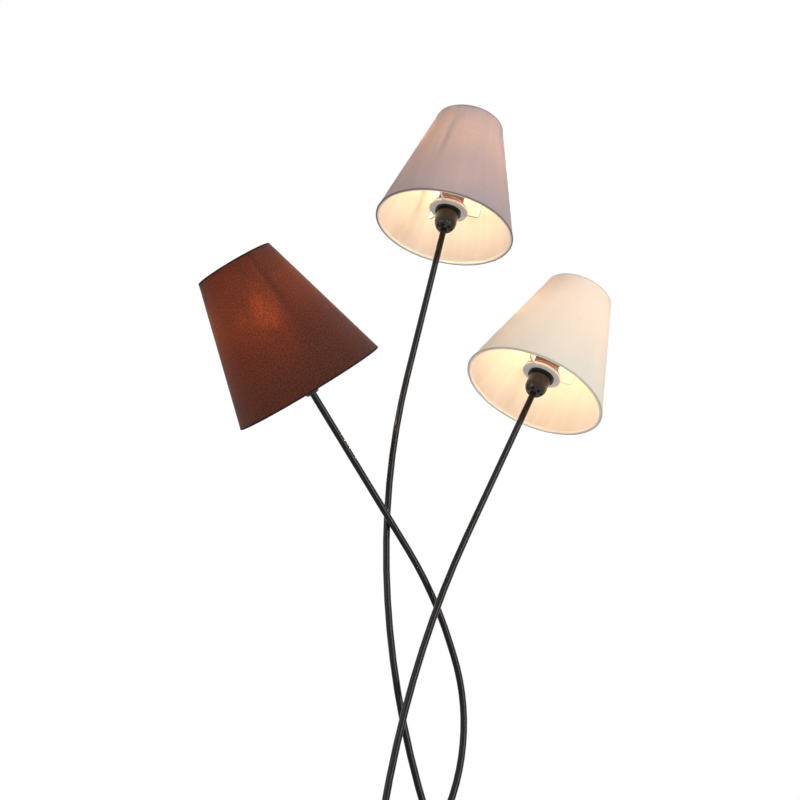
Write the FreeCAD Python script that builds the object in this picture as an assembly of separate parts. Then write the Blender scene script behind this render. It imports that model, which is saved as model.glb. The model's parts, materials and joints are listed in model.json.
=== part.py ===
import FreeCAD, Part
import math
import os

from FreeCAD import Vector

# A tree floor lamp: three bent steel tubes stand in a hub on a round weighted base.
# Each tube ends in a small-screw lampholder that carries a tapered fabric shade.
# Millimetres. Origin: centre of the base's underside. +Z up, +X right, +Y to the back.

# ---------------------------------------------------------------- base
base_radius = 140.0
pad_thickness = 2.0
pad_inset = 3.0
cover_sheet = 1.5
cover_height = 24.5
cover_edge_radius = 7.0
weight_gap = 2.5
weight_edge = 7.0
pocket_radius = 50.0
pocket_floor = 3.0
weight_screw_circle = 100.0
weight_screw_shank = 2.5
weight_screw_head = 5.0
weight_screw_count = 3
weight_screw_turn = 30.0
weight_screw_short = 1.0
screw_slot = 1.2
weld_boss_radius = 6.0
weld_boss_height = 6.0
boss_clearance = 1.0

# ---------------------------------------------------------------- hub
hub_height = 34.0
hub_foot_radius = 30.0
hub_foot_height = 4.0
hub_waist_radius = 20.5
hub_top_edge = 3.0
hub_plate_radius = 34.0
hub_plate_thickness = 3.0
hub_screw_circle = 12.5
hub_screw_shank = 2.0
hub_screw_head = 3.6
hub_screw_head_height = 2.4
hub_screw_grip = 9.0
hub_screw_spare = 2.0
set_screw_radius = 2.5
set_screw_height = 12.0
set_screw_recess = 0.6
socket_radius = 1.4
socket_depth = 2.0

# ---------------------------------------------------------------- cord inlet and terminal block
inlet_height = 10.5
inlet_bore = 2.8
inlet_barrel = 4.9
inlet_flange = 6.6
inlet_flange_thickness = 1.5
inlet_flange_bevel = 0.8
inlet_channel_width = 14.0
block_length = 40.0
block_width = 14.0
block_height = 11.0
block_x = 25.0
block_centre_y = -3.0
block_pitch = 12.0
block_edge = 1.5
block_screw_radius = 2.0
block_screw_floor = 4.0
block_screw_length = 5.0
small_slot = 0.8

# ---------------------------------------------------------------- tubes and flexes
tube_radius = 3.5
tube_wall = 0.75
tube_circle = 11.0
tube_turn = 34.0
tube_spacing = 120.0
tube_foot = 18.0
tube_fit = 0.05
flex_slack = 0.55
flex_bend = 9.0
flex_beyond_tube = 1.5
core_radius = 0.9
core_spacing = 2.2

# ---------------------------------------------------------------- lampholder, along its own axis
# Heights are counted from the plane of the shade's bottom rim.
cap_bottom = -1.0
cap_height = 23.0
cap_top_radius = 12.6
cap_belly_radius = 12.2
cap_end_radius = 7.0
cap_dome = 14.0
cap_wall = 2.0
cap_flute_count = 8
cap_flute_circle = 8.8
cap_flute_radius = 1.4
cap_flute_height = 4.0
nipple_radius = 5.0
nipple_length = 9.0
nipple_bottom = 1.0
tube_seat = 8.0
grub_radius = 1.5
grub_length = 4.6
grub_height = 6.0
grub_slot_width = 0.8
grub_slot_depth = 0.6
shoulder_radius = 15.0
shoulder_height = 3.0
skirt_radius = 14.0
skirt_wall = 2.2
skirt_length = 25.0
skirt_edge = 1.0
insert_bottom = 12.0
insert_neck_radius = 8.6
insert_seat = 5.0
shell_radius = 7.4
shell_wall = 0.45
shell_length = 16.0
contact_width = 4.0
contact_thickness = 0.8
contact_spring = 1.0
contact_gap = 0.1
contact_tongue = 0.7
terminal_spacing = 5.2
terminal_radius = 1.9
terminal_height = 3.5
terminal_inset = 3.0

# ---------------------------------------------------------------- ring nut and wire carrier
carrier_height = 25.0
carrier_outer = 22.2
carrier_thickness = 1.2
carrier_lip = 3.0
carrier_lip_wall = 1.2
carrier_wire = 1.1
carrier_wire_bend = 3.5
carrier_wire_foot = 35.0
turn_fit = 0.1
face_fit = 0.05
nut_radius = 19.6
nut_height = 6.0
nut_edge = 0.8
nut_grip_count = 18
nut_grip_radius = 0.9
nut_grip_offset = 0.4

# ---------------------------------------------------------------- shade
shade_bottom_radius = 80.0
shade_top_radius = 40.0
shade_height = 143.5
shade_skin = 0.8
edge_roll_thickness = 0.25
edge_roll_width = 1.5
rim_wire = 1.2
rim_fit = 0.1

# ---------------------------------------------------------------- bulb
bulb_cap_radius = 6.85
bulb_cap_length = 18.0
bulb_cap_bottom = 24.0
bulb_cap_sheet = 0.5
bulb_cap_floor = 2.0
bulb_cap_edge = 1.2
bulb_flare_height = 2.2
bulb_tip_radius = 3.0
bulb_tip_drop = 0.6
bulb_tip_edge = 0.5
bulb_tip_collar = 0.6
bulb_neck_radius = 8.5
bulb_neck_length = 4.0
bulb_shoulder_angle = 38.0
bulb_glass_radius = 22.5
bulb_length = 76.0
bulb_glass_wall = 0.8
bulb_mouth_gap = 0.5

# ---------------------------------------------------------------- the three arms
# Each tube is bent in one upright plane. lean_azimuth is the way its shade leans, from +X.
# bends lists (straight run, bend radius, turn in degrees) from bend_start upwards; a turn
# is positive towards lean_azimuth. last_run ends at the centre of the shade's bottom rim.
# carrier_wires are the turns of the three carrier wires about the shade's axis, and
# grub_turn is the way the cap's grub screw faces.
bend_start = 30.0
arms = {
    "grey": {
        "foot": 0,
        "lean_azimuth": 13.0,
        "bends": [(110.0, 1000.0, 5.5), (274.0, 740.0, -24.0), (16.0, 800.0, 32.0)],
        "last_run": 186.0,
        "tail_azimuth": 10.0,
        "carrier_wires": [-9.0, 115.0, 239.0],
        "grub_turn": -90.0,
    },
    "brown": {
        "foot": 1,
        "lean_azimuth": 215.0,
        "bends": [(90.0, 1000.0, 6.0), (278.0, 550.0, -35.0), (13.0, 170.0, 50.0), (13.0, 350.0, 17.5)],
        "last_run": 193.0,
        "tail_azimuth": -14.0,
        "carrier_wires": [80.0, 200.0, 320.0],
        "grub_turn": 60.0,
    },
    "cream": {
        "foot": 2,
        "lean_azimuth": 22.5,
        "bends": [(88.0, 970.0, -9.5), (222.0, 960.0, 37.0)],
        "last_run": 187.0,
        "tail_azimuth": -10.0,
        "carrier_wires": [90.0, 215.0, 328.0],
        "grub_turn": 165.0,
    },
}

# ---------------------------------------------------------------- worked-out places
up = Vector(0, 0, 1)
weight_top = cover_height - cover_sheet
pocket_bottom = pad_thickness + pocket_floor
plate_bottom = weight_top - hub_plate_thickness
hub_top = cover_height + hub_height
set_screw_z = cover_height + set_screw_height
tube_bore = tube_radius - tube_wall
flex_radius = tube_bore - flex_slack
shoulder_bottom = carrier_height - shoulder_height
shoulder_top = carrier_height - face_fit
skirt_bore = skirt_radius - skirt_wall
skirt_top = carrier_height + skirt_length
insert_top = skirt_top - insert_seat * 2
shell_bottom = bulb_cap_bottom - bulb_tip_drop
contact_bottom = shell_bottom - 2 * contact_thickness - contact_spring
contact_length = 2 * (bulb_tip_radius + contact_spring)
carrier_top = carrier_height + carrier_thickness
nut_bottom = carrier_top + face_fit
same_height = 0.01
shade_slope = (shade_bottom_radius - shade_top_radius) / shade_height
top_ring_radius = shade_top_radius - shade_skin - rim_wire - rim_fit
top_ring_height = shade_height - rim_wire
bottom_ring_radius = shade_bottom_radius - shade_skin - rim_wire * (1 + shade_slope) - rim_fit


# ---------------------------------------------------------------- helpers
def polar(radius, degrees, z=0.0):
    """Return the point at a radius and a turn from +X."""
    angle = math.radians(degrees)
    return Vector(radius * math.cos(angle), radius * math.sin(angle), z)


def disc(radius, bottom, height, centre=None):
    """Return an upright cylinder, on the Z axis or about a centre."""
    foot = Vector(0, 0, bottom) if centre is None else Vector(centre.x, centre.y, bottom)
    return Part.makeCylinder(radius, height, foot, up)


def turned(points):
    """Revolve an outline of (radius, height) points about the Z axis."""
    corners = [Vector(radius, 0, height) for radius, height in points]
    outline = Part.makePolygon(corners + [corners[0]])
    return Part.Face(outline).revolve(Vector(0, 0, 0), up, 360)


def turned_edges(edges):
    """Revolve a closed outline of edges in the XZ plane about the Z axis."""
    outline = Part.Wire(Part.sortEdges(edges)[0])
    return Part.Face(outline).revolve(Vector(0, 0, 0), up, 360)


def line(start, end):
    """Return a straight edge."""
    return Part.LineSegment(start, end).toShape()


def arc(start, middle, end):
    """Return an arc edge through three points."""
    return Part.Arc(start, middle, end).toShape()


def edges_at(shape, z):
    """Return the round edges whose plane is at a height."""
    found = []
    for edge in shape.Edges:
        if not isinstance(edge.Curve, Part.Circle):
            continue
        box = edge.BoundBox
        if abs(box.ZMin - z) < same_height and abs(box.ZMax - z) < same_height:
            found.append(edge)
    return found


def sweep(path_edges, radius, bore=0.0):
    """Sweep a round section, hollow where a bore is given, along joined edges."""
    wire = Part.Wire(path_edges)
    first = path_edges[0]
    start = first.valueAt(first.FirstParameter)
    heading = first.tangentAt(first.FirstParameter)
    section = Part.Face(Part.Wire(Part.makeCircle(radius, start, heading)))
    solid = wire.makePipe(section)
    if bore:
        core = Part.Face(Part.Wire(Part.makeCircle(bore, start, heading)))
        solid = solid.cut(wire.makePipe(core))
    return solid


def save(shape, node):
    """Write one node's solids."""
    shape.exportStep("parts/" + node + ".step")


# ---------------------------------------------------------------- places of an arm
def foot_angle(arm):
    """Return the turn of an arm's tube about the hub."""
    return tube_turn + tube_spacing * arm["foot"]


def foot_point(arm, z=0.0):
    """Return a point on the axis of an arm's foot."""
    return polar(tube_circle, foot_angle(arm), z)


def arm_path(arm, start_z, end_cut):
    """Return the edges of an arm's centre line, the end point and its heading.

    The line starts straight up at start_z and stops end_cut short of the rim's centre.
    """
    outward = polar(1.0, arm["lean_azimuth"])
    point = foot_point(arm, start_z)
    runs = [list(bend) for bend in arm["bends"]]
    runs[0][0] += bend_start - start_z
    lean = 0.0
    edges = []
    for run, radius, turn in runs:
        heading = outward * math.sin(lean) + up * math.cos(lean)
        corner = point + heading * run
        edges.append(line(point, corner))
        side = math.copysign(1.0, turn)
        sweep_angle = math.radians(turn)
        centre = corner + (outward * math.cos(lean) - up * math.sin(lean)) * (side * radius)
        arc_points = []
        for part in (0.5, 1.0):
            angle = lean + sweep_angle * part
            arc_points.append(centre - (outward * math.cos(angle) - up * math.sin(angle)) * (side * radius))
        edges.append(arc(corner, arc_points[0], arc_points[1]))
        point = arc_points[1]
        lean += sweep_angle
    heading = outward * math.sin(lean) + up * math.cos(lean)
    end = point + heading * (arm["last_run"] - end_cut)
    edges.append(line(point, end))
    return edges, end, heading


def seat(shape, arm):
    """Move a shape from the head's own frame to the end of its arm.

    In the head's own frame the origin is the centre of the shade's bottom rim, Z is the
    shade's axis and X points the way the shade leans.
    """
    rim_centre, heading = arm_path(arm, bend_start, 0.0)[1:]
    side = up.cross(polar(1.0, arm["lean_azimuth"]))
    forward = side.cross(heading)
    frame = FreeCAD.Matrix(
        forward.x, side.x, heading.x, rim_centre.x,
        forward.y, side.y, heading.y, rim_centre.y,
        forward.z, side.z, heading.z, rim_centre.z,
        0, 0, 0, 1,
    )
    placed = shape.copy()
    placed.Placement = FreeCAD.Placement(frame).multiply(placed.Placement)
    return placed


# ---------------------------------------------------------------- base pieces
def felt_pad():
    """Round pad under the whole base."""
    return disc(base_radius - pad_inset, 0.0, pad_thickness)


def base_weight():
    """Cast disc with a wiring pocket, a cord channel and pockets for the weld bosses."""
    radius = base_radius - cover_sheet - weight_gap
    weight = disc(radius, pad_thickness, weight_top - pad_thickness)
    weight = weight.makeChamfer(weight_edge, edges_at(weight, weight_top))
    weight = weight.cut(disc(pocket_radius, pocket_bottom, cover_height))
    channel_bottom = inlet_height - inlet_channel_width / 2
    channel = Part.makeBox(
        inlet_channel_width, base_radius, cover_height,
        Vector(-inlet_channel_width / 2, 0, channel_bottom),
    )
    weight = weight.cut(channel)
    for place in weight_screw_places():
        pocket = disc(weld_boss_radius + boss_clearance, weight_top - weld_boss_height - boss_clearance,
                      cover_height, place)
        hole = disc(weight_screw_shank + tube_fit, 0.0, cover_height, place)
        sink = Part.makeCone(
            weight_screw_head + tube_fit, weight_screw_shank + tube_fit,
            weight_screw_head - weight_screw_shank, Vector(place.x, place.y, pad_thickness), up,
        )
        weight = weight.cut(pocket).cut(hole).cut(sink)
    return weight


def weight_screw_places():
    """Return the centres of the weight's screws, clear of the cord channel."""
    step = 360.0 / weight_screw_count
    return [polar(weight_screw_circle, weight_screw_turn + step * index) for index in range(weight_screw_count)]


def base_cover():
    """Spun steel cover with weld bosses, tube holes and the cord inlet's hole."""
    outer = disc(base_radius, pad_thickness, cover_height - pad_thickness)
    outer = outer.makeFillet(cover_edge_radius, edges_at(outer, cover_height))
    inner = disc(base_radius - cover_sheet, 0.0, weight_top)
    inner = inner.makeFillet(cover_edge_radius - cover_sheet, edges_at(inner, weight_top))
    cover = outer.cut(inner)
    for place in weight_screw_places():
        boss = disc(weld_boss_radius, weight_top - weld_boss_height, weld_boss_height, place)
        thread = disc(weight_screw_shank + tube_fit, 0.0, weight_top, place)
        cover = cover.fuse(boss).cut(thread)
    for arm in arms.values():
        cover = cover.cut(disc(tube_radius + tube_fit, 0.0, cover_height, foot_point(arm)))
    for place in hub_screw_places():
        cover = cover.cut(disc(hub_screw_shank + tube_fit, 0.0, cover_height, place))
    inlet = Part.makeCylinder(
        inlet_barrel + tube_fit, base_radius, Vector(0, 0, inlet_height), Vector(0, 1, 0))
    return cover.cut(inlet)


def cord_inlet_bush():
    """Grommet with a flange on each side of the cover's wall."""
    wall_inside = math.sqrt((base_radius - cover_sheet) ** 2 - inlet_flange ** 2)
    outline = [
        (inlet_bore, wall_inside - inlet_flange_thickness),
        (inlet_flange, wall_inside - inlet_flange_thickness),
        (inlet_flange, wall_inside),
        (inlet_barrel, wall_inside),
        (inlet_barrel, base_radius),
        (inlet_flange, base_radius),
        (inlet_flange - inlet_flange_bevel, base_radius + inlet_flange_thickness),
        (inlet_bore, base_radius + inlet_flange_thickness),
    ]
    bush = turned(outline)
    bush.rotate(Vector(0, 0, 0), Vector(1, 0, 0), -90)
    bush.translate(Vector(0, 0, inlet_height))
    return bush


def hub_screw_places():
    """Return the centres of the hub's screws, between the tubes."""
    return [polar(hub_screw_circle, foot_angle(arm) + tube_spacing / 2) for arm in arms.values()]


def base_hub():
    """Turned boss that holds the three tubes."""
    top = hub_top
    outline = [
        line(Vector(0, 0, cover_height), Vector(hub_foot_radius, 0, cover_height)),
        line(Vector(hub_foot_radius, 0, cover_height),
             Vector(hub_foot_radius, 0, cover_height + hub_foot_height)),
    ]
    reach = hub_foot_radius - hub_waist_radius
    shoulder = cover_height + hub_foot_height
    outline.append(arc(
        Vector(hub_foot_radius, 0, shoulder),
        Vector(hub_foot_radius - reach * math.sin(math.pi / 4), 0,
               shoulder + reach * (1 - math.cos(math.pi / 4))),
        Vector(hub_waist_radius, 0, shoulder + reach),
    ))
    outline.append(line(Vector(hub_waist_radius, 0, shoulder + reach),
                        Vector(hub_waist_radius, 0, top - hub_top_edge)))
    outline.append(arc(
        Vector(hub_waist_radius, 0, top - hub_top_edge),
        Vector(hub_waist_radius - hub_top_edge * (1 - math.cos(math.pi / 4)), 0,
               top - hub_top_edge * (1 - math.sin(math.pi / 4))),
        Vector(hub_waist_radius - hub_top_edge, 0, top),
    ))
    outline.append(line(Vector(hub_waist_radius - hub_top_edge, 0, top), Vector(0, 0, top)))
    outline.append(line(Vector(0, 0, top), Vector(0, 0, cover_height)))
    hub = turned_edges(outline)
    for arm in arms.values():
        hub = hub.cut(disc(tube_radius + tube_fit, cover_height, hub_height, foot_point(arm)))
        hub = hub.cut(set_screw(arm, set_screw_radius, 0.0))
    for place in hub_screw_places():
        hub = hub.cut(disc(hub_screw_shank, cover_height, hub_screw_grip + hub_screw_spare, place))
    return hub


def set_screw(arm, radius, recess):
    """Return a radial screw from the hub's waist to an arm's tube."""
    outside = polar(hub_waist_radius - recess, foot_angle(arm), set_screw_z)
    length = hub_waist_radius - recess - tube_circle - tube_radius
    return Part.makeCylinder(radius, length, outside, polar(-1.0, foot_angle(arm)))


def set_screws():
    """Three socket screws, each with a hexagon recess, that grip the tubes."""
    screws = []
    for arm in arms.values():
        screw = set_screw(arm, set_screw_radius, set_screw_recess)
        outside = polar(hub_waist_radius - set_screw_recess, foot_angle(arm), set_screw_z)
        corners = []
        side = polar(1.0, foot_angle(arm) + 90.0)
        for index in range(7):
            angle = math.radians(60.0 * index)
            corners.append(outside + (side * math.cos(angle) + up * math.sin(angle)) * socket_radius)
        socket = Part.Face(Part.makePolygon(corners)).extrude(polar(-socket_depth, foot_angle(arm)))
        screws.append(screw.cut(socket))
    return Part.makeCompound(screws)


def hub_plate():
    """Steel plate under the cover that spreads the hub's load."""
    plate = disc(hub_plate_radius, plate_bottom, hub_plate_thickness)
    for arm in arms.values():
        plate = plate.cut(disc(tube_radius + tube_fit, plate_bottom, hub_plate_thickness, foot_point(arm)))
    for place in hub_screw_places():
        plate = plate.cut(disc(hub_screw_shank + tube_fit, plate_bottom, hub_plate_thickness, place))
    return plate


def base_screws():
    """Three screws up into the hub and three countersunk screws up into the cover's bosses."""
    screws = []
    for place in hub_screw_places():
        head = disc(hub_screw_head, plate_bottom - hub_screw_head_height, hub_screw_head_height, place)
        shank = disc(hub_screw_shank, plate_bottom, cover_height - plate_bottom + hub_screw_grip, place)
        slot = Part.makeBox(2 * hub_screw_head, screw_slot, screw_slot, Vector(
            place.x - hub_screw_head, place.y - screw_slot / 2, plate_bottom - hub_screw_head_height))
        screws.append(head.fuse(shank).removeSplitter().cut(slot))
    for place in weight_screw_places():
        head = Part.makeCone(
            weight_screw_head, weight_screw_shank, weight_screw_head - weight_screw_shank,
            Vector(place.x, place.y, pad_thickness), up,
        )
        shank = disc(weight_screw_shank, pad_thickness, weight_top - pad_thickness - weight_screw_short, place)
        slot = Part.makeBox(2 * weight_screw_head, screw_slot, screw_slot, Vector(
            place.x - weight_screw_head, place.y - screw_slot / 2, pad_thickness))
        screws.append(head.fuse(shank).removeSplitter().cut(slot))
    return Part.makeCompound(screws)


def terminal_block():
    """Three-pole block on the pocket's floor, with an entry for each arm's flex."""
    block = Part.makeBox(
        block_width, block_length, block_height,
        Vector(block_x, block_centre_y - block_length / 2, pocket_bottom),
    )
    upright = [edge for edge in block.Edges if edge.BoundBox.ZLength > block_height / 2]
    block = block.makeFillet(block_edge, upright)
    for offset in (-block_pitch, 0.0, block_pitch):
        well = disc(block_screw_radius + tube_fit, pocket_bottom + block_screw_floor, block_height,
                    Vector(block_x + block_width / 2, block_centre_y + offset, 0))
        block = block.cut(well)
    return block


def terminal_screws():
    """Clamping screws of the terminal block."""
    screws = []
    for offset in (-block_pitch, 0.0, block_pitch):
        place = Vector(block_x + block_width / 2, block_centre_y + offset, 0)
        screw = disc(block_screw_radius, pocket_bottom + block_screw_floor, block_screw_length, place)
        slot = Part.makeBox(2 * block_screw_radius, small_slot, small_slot, Vector(
            place.x - block_screw_radius, place.y - small_slot / 2,
            pocket_bottom + block_screw_floor + block_screw_length - small_slot))
        screws.append(screw.cut(slot))
    return Part.makeCompound(screws)


# ---------------------------------------------------------------- arm pieces
def tube(arm):
    """Bent steel tube from the base's pocket to its seat in the lampholder."""
    path = arm_path(arm, tube_foot, -tube_seat)[0]
    return sweep(path, tube_radius, tube_bore)


def flex(arm):
    """Two-core flex through the tube, with bared cores at its top."""
    path, end, heading = arm_path(arm, tube_foot, -tube_seat - flex_beyond_tube)
    foot = foot_point(arm, tube_foot)
    tail = polar(1.0, arm["tail_azimuth"])
    middle = foot + tail * (flex_bend * (1 - math.cos(math.pi / 4))) - up * (flex_bend * math.sin(math.pi / 4))
    turn_end = foot + tail * flex_bend - up * flex_bend
    reach = (block_x - flex_radius * abs(tail.y) - turn_end.x) / tail.x
    start = turn_end + tail * reach
    edges = [line(start, turn_end), arc(turn_end, middle, foot)] + path
    sheath = sweep(edges, flex_radius)
    side = up.cross(polar(1.0, arm["lean_azimuth"]))
    core_length = insert_bottom - tube_seat - flex_beyond_tube
    cores = []
    for offset in (-core_spacing / 2, core_spacing / 2):
        cores.append(Part.makeCylinder(core_radius, core_length, end + side * offset, heading))
    return sheath.fuse(cores)


def nipple():
    """Threaded sleeve brazed on the tube's end."""
    sleeve = disc(nipple_radius, nipple_bottom, nipple_length)
    return sleeve.cut(disc(tube_radius + tube_fit, nipple_bottom, nipple_length))


def holder_cap(arm):
    """Moulded bullet-shaped lower half of the lampholder, fluted round the tube's entry."""
    top = cap_bottom + cap_height
    belly = cap_bottom + cap_dome
    reach = cap_belly_radius - cap_end_radius
    end = Vector(cap_end_radius, 0, cap_bottom)
    middle = Vector(cap_end_radius + reach * math.sin(math.pi / 4), 0,
                    cap_bottom + cap_dome * (1 - math.cos(math.pi / 4)))
    widest = Vector(cap_belly_radius, 0, belly)
    rim = Vector(cap_top_radius, 0, top)
    cap = turned_edges([
        line(Vector(0, 0, cap_bottom), end),
        arc(end, middle, widest),
        line(widest, rim),
        line(rim, Vector(0, 0, top)),
        line(Vector(0, 0, top), Vector(0, 0, cap_bottom)),
    ])
    for index in range(cap_flute_count):
        place = polar(cap_flute_circle, 360.0 * (index + 0.5) / cap_flute_count)
        cap = cap.cut(disc(cap_flute_radius, cap_bottom, cap_flute_height, place))
    cap = cap.cut(disc(tube_radius + tube_fit, cap_bottom, cap_height))
    cap = cap.cut(disc(nipple_radius + tube_fit, nipple_bottom, cap_height))
    cavity_bottom = nipple_bottom + nipple_length
    cap = cap.cut(disc(cap_top_radius - cap_wall, cavity_bottom, cap_height))
    cap = cap.cut(Part.makeCylinder(
        grub_radius + tube_fit, cap_top_radius, Vector(nipple_radius, 0, grub_height), Vector(1, 0, 0)))
    cap.rotate(Vector(0, 0, 0), up, arm["grub_turn"])
    return cap


def grub_screw(arm):
    """Small slotted screw that locks the cap on the nipple."""
    screw = Part.makeCylinder(
        grub_radius, grub_length, Vector(nipple_radius, 0, grub_height), Vector(1, 0, 0))
    slot = Part.makeBox(grub_slot_width, 2 * grub_radius, grub_slot_depth, Vector(
        nipple_radius + grub_length - grub_slot_width, -grub_radius, grub_height - grub_slot_depth / 2))
    screw = screw.cut(slot)
    screw.rotate(Vector(0, 0, 0), up, arm["grub_turn"])
    return screw


def holder_skirt():
    """Threaded outer sleeve with the shoulder that carries the shade."""
    outline = [
        (skirt_bore, shoulder_bottom),
        (shoulder_radius, shoulder_bottom),
        (shoulder_radius, shoulder_top),
        (skirt_radius, shoulder_top),
        (skirt_radius, skirt_top - skirt_edge),
        (skirt_radius - skirt_edge, skirt_top),
        (skirt_bore, skirt_top),
    ]
    return turned(outline)


def holder_insert():
    """Moulded core that seats the contacts, the threaded shell and the terminals."""
    step = shoulder_bottom + insert_seat
    outline = [
        (0.0, insert_bottom),
        (insert_neck_radius, insert_bottom),
        (insert_neck_radius, step),
        (skirt_bore - tube_fit, step),
        (skirt_bore - tube_fit, insert_top),
        (shell_radius + tube_fit, insert_top),
        (shell_radius + tube_fit, shell_bottom),
        (0.0, shell_bottom),
    ]
    core = turned(outline)
    slot = Part.makeBox(
        contact_length, contact_width + 2 * tube_fit, shell_bottom - contact_bottom,
        Vector(-contact_length / 2, -contact_width / 2 - tube_fit, contact_bottom),
    )
    core = core.cut(slot)
    for offset in (-terminal_spacing, terminal_spacing):
        core = core.cut(Part.makeCylinder(
            terminal_radius + tube_fit, insert_neck_radius,
            Vector(0, offset, insert_bottom + terminal_height), Vector(1, 0, 0)))
    return core


def terminals():
    """Two slotted wire clamps in the insert's neck."""
    clamps = []
    level = insert_bottom + terminal_height
    for offset in (-terminal_spacing, terminal_spacing):
        screw = Part.makeCylinder(
            terminal_radius, insert_neck_radius - terminal_inset, Vector(0, offset, level), Vector(1, 0, 0))
        slot = Part.makeBox(grub_slot_width, 2 * terminal_radius, grub_slot_depth, Vector(
            insert_neck_radius - terminal_inset - grub_slot_width, offset - terminal_radius,
            level - grub_slot_depth / 2))
        clamps.append(screw.cut(slot))
    return clamps


def centre_contact():
    """Bent spring strip under the bulb's tip, with the two terminal clamps."""
    corner = Vector(-contact_length / 2, -contact_width / 2, contact_bottom)
    tongue_bottom = shell_bottom - contact_thickness - contact_gap
    foot = Part.makeBox(contact_length, contact_width, contact_thickness, corner)
    riser = Part.makeBox(contact_thickness, contact_width, tongue_bottom - contact_bottom, corner)
    tongue = Part.makeBox(
        contact_length * contact_tongue, contact_width, contact_thickness,
        Vector(corner.x, corner.y, tongue_bottom))
    strip = foot.fuse([riser, tongue]).removeSplitter()
    return Part.makeCompound([strip] + terminals())


def thread_shell():
    """Rolled metal sleeve that the bulb's cap screws into."""
    sleeve = disc(shell_radius, shell_bottom, shell_length)
    return sleeve.cut(disc(shell_radius - shell_wall, shell_bottom, shell_length))


def ring_nut():
    """Knurled nut that clamps the carrier on the holder's shoulder."""
    nut = disc(nut_radius, nut_bottom, nut_height)
    nut = nut.makeChamfer(nut_edge, edges_at(nut, nut_bottom + nut_height))
    for index in range(nut_grip_count):
        place = polar(nut_radius + nut_grip_offset, 360.0 * index / nut_grip_count)
        nut = nut.cut(disc(nut_grip_radius, nut_bottom, nut_height, place))
    return nut.cut(disc(skirt_radius + turn_fit, nut_bottom, nut_height))


def shade_carrier(arm):
    """Lipped ring with three wires that run out and up to the shade's top ring."""
    ring = disc(carrier_outer, carrier_height, carrier_lip)
    ring = ring.cut(disc(carrier_outer - carrier_lip_wall, carrier_top, carrier_lip))
    level = carrier_height + carrier_thickness / 2
    bend = carrier_wire_bend
    head_height = top_ring_height - rim_wire
    splay = math.atan2(top_ring_radius - carrier_wire_foot, head_height - level - bend)
    turn_angle = math.pi / 2 - splay
    bend_start_radius = carrier_wire_foot - bend
    wires = []
    for turn in arm["carrier_wires"]:
        points = []
        for angle in (0.0, turn_angle / 2, turn_angle):
            points.append(polar(bend_start_radius + bend * math.sin(angle), turn,
                                level + bend * (1 - math.cos(angle))))
        start = polar(carrier_outer - carrier_lip_wall / 2, turn, level)
        head = polar(top_ring_radius, turn, head_height)
        path = [line(start, points[0]), arc(*points), line(points[2], head)]
        wires.append(sweep(path, carrier_wire))
    frame = ring.fuse(wires)
    return frame.cut(disc(skirt_radius + turn_fit, carrier_height, carrier_thickness))


def rim_wires():
    """Round wires inside the shade's two rims."""
    top = Part.makeTorus(top_ring_radius, rim_wire, Vector(0, 0, top_ring_height), up)
    bottom = Part.makeTorus(bottom_ring_radius, rim_wire, Vector(0, 0, rim_wire), up)
    return Part.makeCompound([top, bottom])


def shade():
    """Tapered fabric shade, rolled a little proud at each rim."""
    roll = edge_roll_width
    proud = edge_roll_thickness
    top = shade_height

    def outside(z):
        return shade_bottom_radius - shade_slope * z

    return turned([
        (outside(0) - shade_skin, 0),
        (outside(0) + proud, 0),
        (outside(roll) + proud, roll),
        (outside(roll), roll),
        (outside(top - roll), top - roll),
        (outside(top - roll) + proud, top - roll),
        (outside(top) + proud, top),
        (outside(top) - shade_skin, top),
    ])


def bulb_cap():
    """Screw cap of the bulb, flared at the top to meet the glass."""
    top = bulb_cap_bottom + bulb_cap_length
    floor = bulb_cap_bottom + bulb_cap_floor
    hole = bulb_tip_radius + bulb_tip_collar
    return turned([
        (hole, bulb_cap_bottom),
        (bulb_cap_radius - bulb_cap_edge, bulb_cap_bottom),
        (bulb_cap_radius, bulb_cap_bottom + bulb_cap_edge),
        (bulb_cap_radius, top - bulb_flare_height),
        (bulb_neck_radius, top),
        (bulb_neck_radius - bulb_glass_wall, top),
        (bulb_cap_radius - bulb_cap_sheet, top - bulb_flare_height),
        (bulb_cap_radius - bulb_cap_sheet, floor),
        (hole, floor),
    ])


def bulb_tip():
    """Round contact button with its insulating collar, in the bottom of the bulb's cap."""
    bottom = bulb_cap_bottom - bulb_tip_drop
    collar = bulb_tip_radius + bulb_tip_collar - face_fit
    return turned([
        (0.0, bottom),
        (bulb_tip_radius - bulb_tip_edge, bottom),
        (bulb_tip_radius, bottom + bulb_tip_edge),
        (bulb_tip_radius, bulb_cap_bottom),
        (collar, bulb_cap_bottom),
        (collar, bulb_cap_bottom + bulb_cap_floor),
        (0.0, bulb_cap_bottom + bulb_cap_floor),
    ])


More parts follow.
